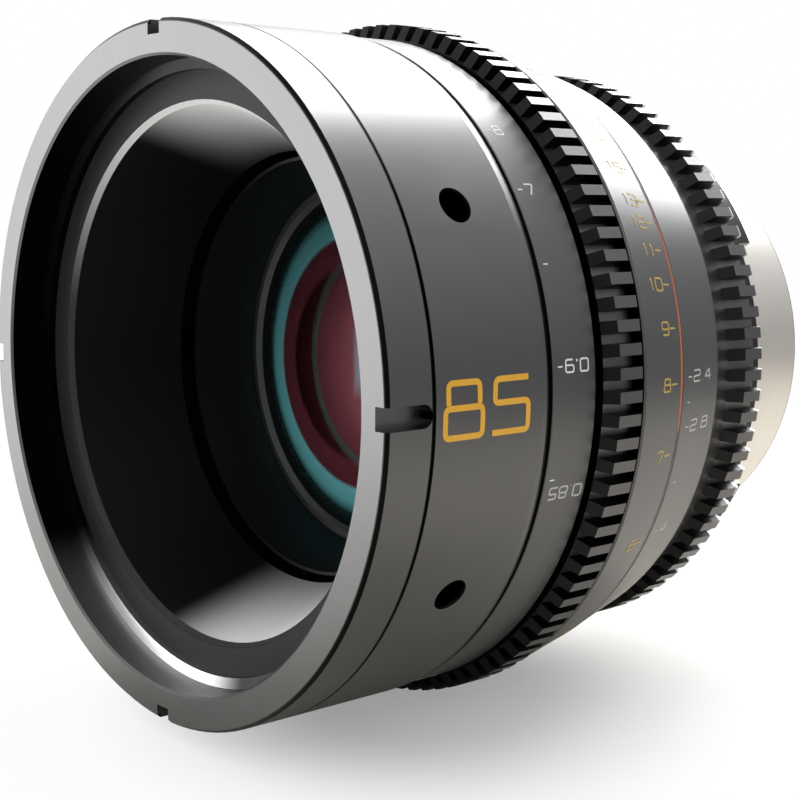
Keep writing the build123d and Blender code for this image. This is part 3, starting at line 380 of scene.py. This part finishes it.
def firstGlass(name):
    look = firstGlassLook
    material, tree, place = newMaterial(name)
    radius, station = radiusAndStation(tree, place)
    rear = addNode(tree, "ShaderNodeMath", {0: station, 1: look["middleStation"]}, operation="GREATER_THAN")
    frontColour, frontShare = coatingRings(tree, radius, look["front"])
    rearColour, rearShare = coatingRings(tree, radius, look["rear"])
    colour = addNode(tree, "ShaderNodeMix", {0: rear, 6: frontColour, 7: rearColour}, out=2,
                     data_type="RGBA")
    share = addNode(tree, "ShaderNodeMix", {0: rear, 6: frontShare, 7: rearShare}, out=2, data_type="RGBA")
    split = addNode(tree, "ShaderNodeSeparateXYZ", {0: place}, out=None)
    x = addNode(tree, "ShaderNodeMath", {0: split.outputs[0], 1: 1 / mm}, operation="MULTIPLY")
    z = addNode(tree, "ShaderNodeMath", {0: split.outputs[2], 1: 1 / mm}, operation="MULTIPLY")
    across, upwards = band(tree, x, *look["windowX"]), band(tree, z, *look["windowZ"])
    window = addNode(tree, "ShaderNodeMath", {0: across, 1: upwards}, operation="MINIMUM")
    window = addNode(tree, "ShaderNodeMath", {0: window, 1: rear}, operation="MINIMUM")
    colour = addNode(tree, "ShaderNodeMix", {0: window, 6: colour, 7: linear(look["window"])},
                     out=2, data_type="RGBA")
    # Painted shade: the haze is darker towards the bottom
    (dimAt, brightAt), least = look["dimHeight"], look["dimLeast"]
    height = addNode(tree, "ShaderNodeMapRange", {0: z, 1: dimAt, 2: brightAt, 3: least, 4: 1.0})
    dim = addNode(tree, "ShaderNodeMix", {0: height, 6: linear(look["dark"]), 7: colour}, out=2,
                  data_type="RGBA")
    dim = addNode(tree, "ShaderNodeMix", {0: window, 6: dim, 7: linear(look["window"])}, out=2,
                  data_type="RGBA")
    haze = addNode(tree, "ShaderNodeBsdfDiffuse", {"Color": dim})
    gleam = addNode(tree, "ShaderNodeBsdfPrincipled", {
        "Base Color": colour, "Metallic": 1.0, "Roughness": look["roughness"]})
    coat = addNode(tree, "ShaderNodeMixShader", {0: look["haze"], 1: gleam, 2: haze})
    clear = addNode(tree, "ShaderNodeBsdfTransparent", {"Color": linear(look["clear"])})
    glass = addNode(tree, "ShaderNodeMixShader", {0: share, 1: clear, 2: coat})
    addNode(tree, "ShaderNodeOutputMaterial", {"Surface": glass}, out=None)
    return material


frontRingZones = [
    ((39.5, 40.2), (0.08, 0.44), "edge"),  # bevel round the face
    ((34.0, 36.02), (0.3, 6.0), "recess"),  # wall of the filter thread, with a painted highlight underneath
    ((38.0, 40.2), (5.72, 6.5), "black"),  # joint with the barrel
]
barrelZones = [
    ((30.0, 39.6), (6.0, 22.2), "black"),  # inside, and down the side holes
    ((39.5, 40.2), (6.0, 6.24), "black"),  # joint with the front ring
    ((39.0, 40.2), (21.72, 22.3), "black"),  # joint with the focus ring
]
focusRingZones = [
    ((30.0, 39.35), (22.0, 44.0), "black"),  # inside
    ((39.0, 41.2), (35.3, 35.5), "black"),  # groove behind the gear
    ((39.0, 39.8), (22.4, 22.8), "black"),  # front bevel
]
focusTeeth = ((39.2, 42.0), (30.2, 35.2))
irisRingZones = [
    ((30.0, 35.3), (43.0, 63.0), "black"),  # inside
    ((36.5, 37.6), (61.9, 62.46), "gearBevelHighlight"),  # rear bevel of the gear: pale painted highlight
]
irisTeeth = ((35.0, 37.6), (57.3, 61.9))
mountEdges = [
    ((24.0, 28.0), (83.5, 84.5), "#6b6864"),  # rear rim of the tube
    ((31.75, 34.6), (60.0, 70.0), "#a5a29e"),  # lugs, greyer: painted shade
    ((34.05, 34.6), (60.0, 70.0), "#2b2b2c"),  # their round ends, near black: painted shade
]
# Rings of the coatings' tints on the inner and rear glass, laid out as painted reflections
innerGlassRings = [(0.0, "#7a3550", 0.35), (12.0, "#6a2438", 0.4), (16.0, "#47161f", 0.4),
                   (20.5, "#1f4d4c", 0.4)]
rearGlassRings = [(0.0, "#4a6a78", 0.1), (12.0, "#3a5a4a", 0.12), (20.5, "#2a4a3a", 0.2)]

innerMaterial = blackAluminium("blackAnodisedInner", "#101011", roughness=0.38)
mountMaterial = turnedMetal("turnedStainlessSteel", ("#dad6d0", "#e2ded9"), roughness=0.38, edges=mountEdges)
screwMaterial = turnedMetal("blackenedSteel", ("#2b2b2c", "#38383a"), roughness=0.35)
bronzeMaterial = turnedMetal("machinedBronze", ("#a97c42", "#b98c50"), roughness=0.3)
bladeMaterial = turnedMetal("blackenedSpringSteel", ("#242427", "#2e2e31"), roughness=0.42)
innerGlass = coatedGlass("coatedInnerGlass", innerGlassRings)
rearGlass = coatedGlass("coatedRearGlass", rearGlassRings)
nodeMaterials = {
    "front_ring": satinAluminium("satinAnodisedFrontRing", frontRingZones),
    "front_barrel": satinAluminium("satinAnodisedBarrel", barrelZones),
    "focus_ring": satinAluminium("satinAnodisedFocusRing", focusRingZones, focusTeeth),
    "iris_ring": satinAluminium("satinAnodisedIrisRing", irisRingZones, irisTeeth),
    "front_hood": turnedHood("blackAnodisedHood"),
    "front_cell": blackAluminium("blackAnodisedCell", "#0d0d0e", roughness=0.34, turningMm=0.25),
    "front_retainer": turnedMetal("greyRetainer", ("#474849", "#525354"), roughness=0.5),
    "index_ring": indexPaint("orangeIndexPaint"),
    "front_washer": mottled("slidingPlastic", ("#101011", "#1c1c1d"), roughness=0.55, grainMm=0.8,
                            reliefMm=0.002),
    "element_one": firstGlass("coatedFrontGlass"),
    "element_two": innerGlass, "element_three": innerGlass,
    "element_four": rearGlass, "element_five": rearGlass, "rear_element": rearGlass,
    "mount_flange": mountMaterial, "mount_shim": mountMaterial,
    "rear_guide_bush": bronzeMaterial, "cam_sleeve": bronzeMaterial, "iris_cam_ring": bronzeMaterial,
}
for name, node in nodes.items():
    chosen = nodeMaterials.get(name, innerMaterial)
    if name not in nodeMaterials and any(word in name for word in ("screw", "pin", "follower")):
        chosen = screwMaterial
    elif name not in nodeMaterials and "blade" in name:
        chosen = bladeMaterial
    node.data.materials.clear()
    node.data.materials.append(chosen)

print("figures and scale marks")
# Strokes of the figures in a box 1 wide and 1 high: runs of points, and whether each closes
strokes = {
    "0": [([(0, 0), (1, 0), (1, 1), (0, 1)], True)],
    "1": [([(0.25, 0.8), (0.6, 1), (0.6, 0)], False)],
    "2": [([(0, 1), (1, 1), (1, 0.52), (0, 0.48), (0, 0), (1, 0)], False)],
    "3": [([(0, 1), (1, 1), (1, 0), (0, 0)], False), ([(0.25, 0.52), (0.92, 0.52)], False)],
    "4": [([(0.75, 0), (0.75, 1), (0, 0.3), (0.66, 0.3)], False), ([(0.84, 0.3), (1, 0.3)], False)],
    "5": [([(1, 1), (0.08, 1), (0.05, 0.56), (1, 0.56), (1, 0), (0, 0)], False)],
    "6": [([(0.9, 1), (0, 1), (0, 0), (1, 0), (1, 0.56), (0.1, 0.56)], False)],
    "7": [([(0, 1), (1, 1), (0.4, 0)], False)],
    "8": [([(0.08, 0.6), (0.08, 1), (0.92, 1), (0.92, 0.6)], False),
          ([(0, 0), (1, 0), (1, 0.54), (0, 0.54)], True)],
    "9": [([(0.1, 0), (1, 0), (1, 1), (0, 1), (0, 0.44), (0.9, 0.44)], False)],
    ".": [([(0.5, 0.0), (0.5, 0.06)], False)],
    "'": [([(0.5, 0.8), (0.5, 1.02)], False)],
}
narrow = {"1": 0.7, ".": 0.25, "'": 0.3}  # widths of the narrow figures
markLook = {"corner": 0.18, "cornerSteps": 5, "cornerShare": 0.49, "mitreLeast": 0.5,
            "spacing": 0.28, "liftMm": 0.012, "thickMm": 0.03, "longestMm": 0.5, "weldMm": 0.002}


def rounded(points, closed, radius):
    # The run with its corners rounded
    count, steps = len(points), markLook["cornerSteps"]
    result = []
    for index, point in enumerate(points):
        corner = Vector(point)
        if not closed and index in (0, count - 1):
            result.append(corner)
            continue
        before = Vector(points[index - 1]) - corner
        after = Vector(points[(index + 1) % count]) - corner
        reach = min(radius, before.length * markLook["cornerShare"], after.length * markLook["cornerShare"])
        start = corner + before.normalized() * reach
        end = corner + after.normalized() * reach
        for step in range(steps + 1):
            t = step / steps
            result.append(start * (1 - t) ** 2 + corner * 2 * t * (1 - t) + end * t ** 2)
    return result


def ribbon(points, closed, width):
    # Quads on both sides of a run, mitred at its corners
    count = len(points)
    left, right = [], []
    for index, here in enumerate(points):
        before = points[index - 1] if closed or index > 0 else None
        after = points[(index + 1) % count] if closed or index < count - 1 else None
        first = (here - before).normalized() if before is not None else None
        second = (after - here).normalized() if after is not None else None
        first = first or second
        second = second or first
        bend = (first + second).normalized()
        side = Vector((-bend.y, bend.x)) * width / 2 / max(markLook["mitreLeast"], bend.dot(first))
        left.append(here + side)
        right.append(here - side)
    quads = []
    for index in range(count if closed else count - 1):
        following = (index + 1) % count
        quads.append((right[index], right[following], left[following], left[index]))
    return quads


def fineQuads(quads):
    # Splits long quads so that they follow the round surface
    result = []
    for a, b, c, d in quads:
        parts = int(max((b - a).length, (c - d).length) / (markLook["longestMm"] * mm)) + 1
        for part in range(parts):
            t0, t1 = part / parts, (part + 1) / parts
            result.append((a.lerp(b, t0), a.lerp(b, t1), d.lerp(c, t1), d.lerp(c, t0)))
    return result


def textQuads(text, look):
    # All strokes of a text as flat quads, and its length; x runs along it from 0, y is centred
    height, wide, stroke = look["height"], look["height"] * look["aspect"], look["stroke"]
    corner = look.get("corner", markLook["corner"]) * height
    gap = wide * markLook["spacing"]
    quads, x = [], 0.0
    for letter in text:
        width = wide * narrow.get(letter, 1.0)
        for points, closed in strokes[letter]:
            line = [(x + px * width, (py - 0.5) * (height - stroke)) for px, py in points]
            quads += ribbon(rounded(line, closed, corner), closed, stroke)
        x += width + gap
    return quads, x - gap


def tick(length, width):
    half = width / 2
    return [(Vector((0, -half)), Vector((length, -half)), Vector((length, half)), Vector((0, half)))]


def onAxis(radius, angle, station):
    # Point at a radius and an angle (degrees from the top towards +X), all lengths in metres
    turn = math.radians(angle)
    return Vector((radius * math.sin(turn), station - seatDepth, radius * math.cos(turn)))


def coneThrough(start, end):
    # Radius in metres at a station in metres; start and end are (station, radius) in mm
    def radiusAt(station):
        share = (station / mm - start[0]) / (end[0] - start[0])
        return (start[1] + (end[1] - start[1]) * share) * mm
    return radiusAt


def wrapMarks(name, marks, radiusAt, body, paint):
    # marks: (quads, station, angle, upside down)
    mesh = bmesh.new()
    for quads, station, angle, flipped in marks:
        for quad in fineQuads(quads):
            ring = []
            for corner in quad:
                along, up = (-corner.x, -corner.y) if flipped else (corner.x, corner.y)
                here = station + along
                radius = radiusAt(here) + markLook["liftMm"] * mm
                ring.append(mesh.verts.new(onAxis(radius, angle - math.degrees(up / radius), here)))
            mesh.faces.new(ring)
    bmesh.ops.remove_doubles(mesh, verts=mesh.verts, dist=markLook["weldMm"] * mm)
    bmesh.ops.recalc_face_normals(mesh, faces=mesh.faces)
    data = bpy.data.meshes.new(name)
    mesh.to_mesh(data)
    mesh.free()
    piece = bpy.data.objects.new(name, data)
    bpy.context.scene.collection.objects.link(piece)
    # Normals outwards, then a thin body down into the surface
    facing = sum(face.normal.dot(Vector((face.center.x, 0, face.center.z))) * face.area
                 for face in data.polygons)
    if facing < 0:
        data.flip_normals()
    thin = piece.modifiers.new("thin", "SOLIDIFY")
    thin.thickness = markLook["thickMm"] * mm
    thin.offset = -1
    data.materials.append(paint)
    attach(piece, body)


# Enamel brushed into the engraving: matt and a little uneven
paintLook = {"grainMm": 0.5, "reliefMm": 0.004}
figureAmber = mottled("amberPaint", ("#d9a227", "#cf981f"), roughness=0.45, **paintLook)
scaleAmber = mottled("scaleAmberPaint", ("#b39a4c", "#a58c3f"), roughness=0.5, **paintLook)
whitePaint = mottled("whitePaint", ("#dcdcda", "#cfcfcc"), roughness=0.5, **paintLook)
greyPaint = mottled("greyPaint", ("#b4b4b2", "#a6a6a4"), roughness=0.5, **paintLook)

focalFigure = {"text": "85", "height": 6.0 * mm, "aspect": 0.83, "stroke": 0.62 * mm, "corner": 0.1,
               "station": 7.45 * mm, "angle": 89.7, "surface": ((6.0, 40.0), (22.0, 40.0))}
quads = textQuads(focalFigure["text"], focalFigure)[0]
wrapMarks("focal_figure", [(quads, focalFigure["station"], focalFigure["angle"], False)],
          coneThrough(*focalFigure["surface"]), "housing", figureAmber)

# Focus scale in feet on the cone: a thin lens of this focal length on a cam of this lead
focusScale = {
    "feet": (3, 3.5, 4, 4.5, 5, 6, 7, 8, 9, 10, 11, 12, 13, 15, 18, 20, 25, 40),
    "restFeet": 8, "restAngle": 89.5,
    "focalMm": 85.0, "camLeadMm": 15.3, "footMm": 304.8, "surface": ((35.7, 41.3), (43.3, 39.8)),
    "height": 1.62 * mm, "aspect": 0.88, "stroke": 0.21 * mm, "textEnd": 40.95 * mm,
    "tick": (1.25 * mm, 0.2 * mm), "tickStart": 41.2 * mm,
}


def extension(feet):
    # In mm, at a distance from the image plane
    focal = focusScale["focalMm"]
    half = (feet * focusScale["footMm"] - 2 * focal) / 2
    return half - math.sqrt(half * half - focal * focal)


marks = []
for feet in focusScale["feet"]:
    travel = extension(feet) - extension(focusScale["restFeet"])
    angle = focusScale["restAngle"] + travel * 360 / focusScale["camLeadMm"]
    quads, length = textQuads("%g" % feet, focusScale)
    marks.append((quads, focusScale["textEnd"] - length, angle, False))
    marks.append((tick(*focusScale["tick"]), focusScale["tickStart"], angle, False))
wrapMarks("focus_scale", marks, coneThrough(*focusScale["surface"]), "focus_ring_group", scaleAmber)

# Front band: distances in feet and inches, and one in metres that reads from the other side
frontScale = {
    "figures": (("6'0", 85.0), ("", 69.4), ("7", 57.0), ("8", 45.3), ("9", 36.4), ("10", 29.4),
                ("12", 19.0), ("15", 8.6), ("20", -1.8), ("30", -11.8), ("3'6", 156.0), ("3'0", 184.0)),
    "metres": (("0.85", 104.8),), "metreTickAngle": -2.3, "surface": ((22.4, 39.7), (30.0, 39.7)),
    "height": 1.5 * mm, "aspect": 0.8, "stroke": 0.19 * mm, "textStart": 24.7 * mm, "metreStart": 23.8 * mm,
    "tick": (0.7 * mm, 0.15 * mm), "tickStart": 23.5 * mm,
}
marks, metreMarks = [], []
for text, angle in frontScale["figures"]:
    quads = textQuads(text, frontScale)[0]
    marks.append((tick(*frontScale["tick"]), frontScale["tickStart"], angle, False))
    marks.append((quads, frontScale["textStart"], angle, False))
for text, angle in frontScale["metres"]:
    quads, length = textQuads(text, frontScale)
    tickAngle = angle + frontScale["metreTickAngle"]
    marks.append((tick(*frontScale["tick"]), frontScale["tickStart"], tickAngle, False))
    metreMarks.append((quads, frontScale["metreStart"] + length, angle, True))
frontBand = coneThrough(*frontScale["surface"])
wrapMarks("front_scale", marks, frontBand, "focus_ring_group", whitePaint)
wrapMarks("metre_scale", metreMarks, frontBand, "focus_ring_group", greyPaint)

# Aperture scale: even steps a stop, with a small tick halfway
irisScale = {
    "stops": (2.4, 2.8, 4, 5.6, 8, 11, 16, 22), "angle": 88.8, "stopAngle": 19.1,
    "surface": ((44.1, 39.6), (53.0, 37.45)), "height": 1.45 * mm, "aspect": 1.08, "stroke": 0.18 * mm,
    "textStart": 46.7 * mm, "tickStart": 45.3 * mm, "tick": (0.9 * mm, 0.15 * mm),
    "halfTick": (0.6 * mm, 0.12 * mm),
}
stops = irisScale["stops"]
angles = [irisScale["angle"] + irisScale["stopAngle"] * 2 * math.log2(stop / stops[0]) for stop in stops]
marks = []
for stop, angle in zip(stops, angles):
    quads = textQuads("%g" % stop, irisScale)[0]
    marks.append((tick(*irisScale["tick"]), irisScale["tickStart"], angle, False))
    marks.append((quads, irisScale["textStart"], angle, False))
for angle, following in zip(angles, angles[1:]):
    marks.append((tick(*irisScale["halfTick"]), irisScale["tickStart"], (angle + following) / 2, False))
wrapMarks("iris_scale", marks, coneThrough(*irisScale["surface"]), "iris_ring_group", greyPaint)

print("floor, light and camera")
# White paper that catches the shadow, and the white of the backdrop beyond it. The shadow is pale, as
# on paper lit from all sides, so the camera alone sees a share of plain white that grows away from the
# lens. Mirrored in the lens, the paper beside and behind it looks greyer. Lengths are in metres.
floorLook = {
    "size": 3.0, "height": -41.64 * mm, "paper": ("#f6f4f0", "#f2f0ec"), "fibreMm": 0.6,
    "mirrored": ("#f4f1e8", "#c0bcb3"),
    "beside": (0.034, 0.052), "behind": (-0.035, -0.01), "behindShare": 0.8, "paperEnd": (0.1, 0.32),
    "middle": (0.012, -0.038), "rearward": 0.6, "veilReach": (0.01, 0.045), "veil": (0.3, 0.95),
}
floorMesh = bmesh.new()
bmesh.ops.create_grid(floorMesh, x_segments=2, y_segments=2, size=floorLook["size"])
floorData = bpy.data.meshes.new("floor")
floorMesh.to_mesh(floorData)
floorMesh.free()
floor = bpy.data.objects.new("floor", floorData)
floor.location = (0, 0, floorLook["height"])
bpy.context.scene.collection.objects.link(floor)
floorMaterial, tree, place = newMaterial("whitePaper")
fibre = addNode(tree, "ShaderNodeTexNoise", {"Vector": place, "Scale": 1 / (floorLook["fibreMm"] * mm),
                                             "Detail": 3.0, "Roughness": 0.6}, out="Fac")
tint = addNode(tree, "ShaderNodeMix", {0: fibre, 6: linear(floorLook["paper"][0]),
                                       7: linear(floorLook["paper"][1])}, out=2, data_type="RGBA")
rays = addNode(tree, "ShaderNodeLightPath", out=None)
split = addNode(tree, "ShaderNodeSeparateXYZ", {0: place}, out=None)
beside = addNode(tree, "ShaderNodeMapRange", {0: split.outputs[0], 1: floorLook["beside"][0],
                                              2: floorLook["beside"][1]})
behind = addNode(tree, "ShaderNodeMapRange", {0: split.outputs[1], 1: floorLook["behind"][0],
                                              2: floorLook["behind"][1], 4: floorLook["behindShare"]})
greyer = addNode(tree, "ShaderNodeMath", {0: beside, 1: behind}, operation="MAXIMUM")
mirrored = addNode(tree, "ShaderNodeMix", {0: greyer, 6: linear(floorLook["mirrored"][0]),
                                           7: linear(floorLook["mirrored"][1])}, out=2, data_type="RGBA")
tint = addNode(tree, "ShaderNodeMix", {0: rays.outputs["Is Glossy Ray"], 6: tint, 7: mirrored},
               out=2, data_type="RGBA")
sideways = addNode(tree, "ShaderNodeMath", {0: split.outputs[0], 1: floorLook["middle"][0]},
                   operation="SUBTRACT")
lengthways = addNode(tree, "ShaderNodeMath", {0: split.outputs[1], 1: floorLook["middle"][1]},
                     operation="SUBTRACT")
shorter = addNode(tree, "ShaderNodeMath", {0: lengthways, 1: floorLook["rearward"]}, operation="MULTIPLY")
lengthways = addNode(tree, "ShaderNodeMath", {0: lengthways, 1: shorter}, operation="MINIMUM")
offset = addNode(tree, "ShaderNodeCombineXYZ", {0: sideways, 1: lengthways})
away = addNode(tree, "ShaderNodeVectorMath", {0: offset}, out="Value", operation="LENGTH")
veil = addNode(tree, "ShaderNodeMapRange", {
    0: away, 1: floorLook["veilReach"][0], 2: floorLook["veilReach"][1], 3: floorLook["veil"][0],
    4: floorLook["veil"][1]}, interpolation_type="SMOOTHSTEP")
veil = addNode(tree, "ShaderNodeMath", {0: rays.outputs["Is Camera Ray"], 1: veil}, operation="MULTIPLY")
paper = addNode(tree, "ShaderNodeBsdfDiffuse", {"Color": tint})
white = addNode(tree, "ShaderNodeEmission", {"Color": linear("#ffffff"), "Strength": 1.0})
seen = addNode(tree, "ShaderNodeMixShader", {0: veil, 1: paper, 2: white})
far = addNode(tree, "ShaderNodeVectorMath", {0: place}, out="Value", operation="LENGTH")
beyond = addNode(tree, "ShaderNodeMapRange", {
    0: far, 1: floorLook["paperEnd"][0], 2: floorLook["paperEnd"][1]}, interpolation_type="SMOOTHSTEP")
clear = addNode(tree, "ShaderNodeBsdfTransparent")
shader = addNode(tree, "ShaderNodeMixShader", {0: beyond, 1: seen, 2: clear})
addNode(tree, "ShaderNodeOutputMaterial", {"Surface": shader}, out=None)
floorData.materials.append(floorMaterial)

# Studio round the lens, as (sine of the height, colour): grey at the horizon so that the dark metal
# keeps its depth, brighter above and below; the camera sees plain white
studioLevels = [(-1.0, "#f9f5f0"), (-0.45, "#bcb8b3"), (-0.08, "#a2a2a2"), (0.12, "#b8b8ba"),
                (0.35, "#dadadb"), (0.65, "#f9f9f9")]
world = bpy.data.worlds.new("studio")
bpy.context.scene.world = world
world.use_nodes = True
tree = world.node_tree
tree.nodes.clear()
way = addNode(tree, "ShaderNodeTexCoord", out="Generated")
split = addNode(tree, "ShaderNodeSeparateXYZ", {0: way}, out=None)
height = addNode(tree, "ShaderNodeMapRange", {0: split.outputs[2], 1: -1.0, 2: 1.0})
ramp = addNode(tree, "ShaderNodeValToRGB", {0: height}, out=None)
fillRamp(ramp, [((sine + 1) / 2, linear(colour)) for sine, colour in studioLevels])
studio = addNode(tree, "ShaderNodeBackground", {"Color": ramp.outputs[0], "Strength": 1.0})
white = addNode(tree, "ShaderNodeBackground", {"Color": linear("#ffffff"), "Strength": 1.0})
toCamera = addNode(tree, "ShaderNodeLightPath", out="Is Camera Ray")
backdrop = addNode(tree, "ShaderNodeMixShader", {0: toCamera, 1: studio, 2: white})
addNode(tree, "ShaderNodeOutputWorld", {"Surface": backdrop}, out=None)

softboxes = {
    # place, target, width and height in metres, watts
    "topBox": ((-0.3, 0.42, 0.68), (0, -0.02, 0), 0.5, 0.5, 8.0),
    "backBox": ((-0.22, 0.82, 0.5), (0, 0, 0), 0.5, 0.36, 7.0),
    "frontBox": ((-0.75, -0.65, 0.04), (0, -0.03, 0), 0.6, 0.6, 4.9),
}
for name, (spot, target, width, height, watts) in softboxes.items():
    light = bpy.data.lights.new(name, "AREA")
    light.shape = "RECTANGLE"
    light.size, light.size_y = width, height
    light.energy = watts
    lamp = bpy.data.objects.new(name, light)
    lamp.location = spot
    lamp.rotation_euler = (Vector(target) - Vector(spot)).to_track_quat("-Z", "Y").to_euler()
    bpy.context.scene.collection.objects.link(lamp)

# Camera at the photograph's viewing angle, found from the circles of the lens
cameraLook = {"placeMm": (145.73, -157.87, 20.60), "right": (0.6535, 0.7569, 0.0075),
              "up": (-0.1054, 0.0811, 0.9911), "lens": 67.74, "sensor": 36.0, "nearest": 0.005}
camera = bpy.data.objects.new("camera", bpy.data.cameras.new("camera"))
camera.data.sensor_width = cameraLook["sensor"]
camera.data.lens = cameraLook["lens"]
camera.data.clip_start = cameraLook["nearest"]
right = Vector(cameraLook["right"]).normalized()
up = Vector(cameraLook["up"])
up = (up - right * up.dot(right)).normalized()
turned = Matrix((right, up, right.cross(up))).transposed().to_4x4()
camera.matrix_world = Matrix.Translation(Vector(cameraLook["placeMm"]) * mm) @ turned
bpy.context.scene.collection.objects.link(camera)
bpy.context.scene.camera = camera
bpy.context.scene.view_settings.view_transform = "Standard"

print("done")
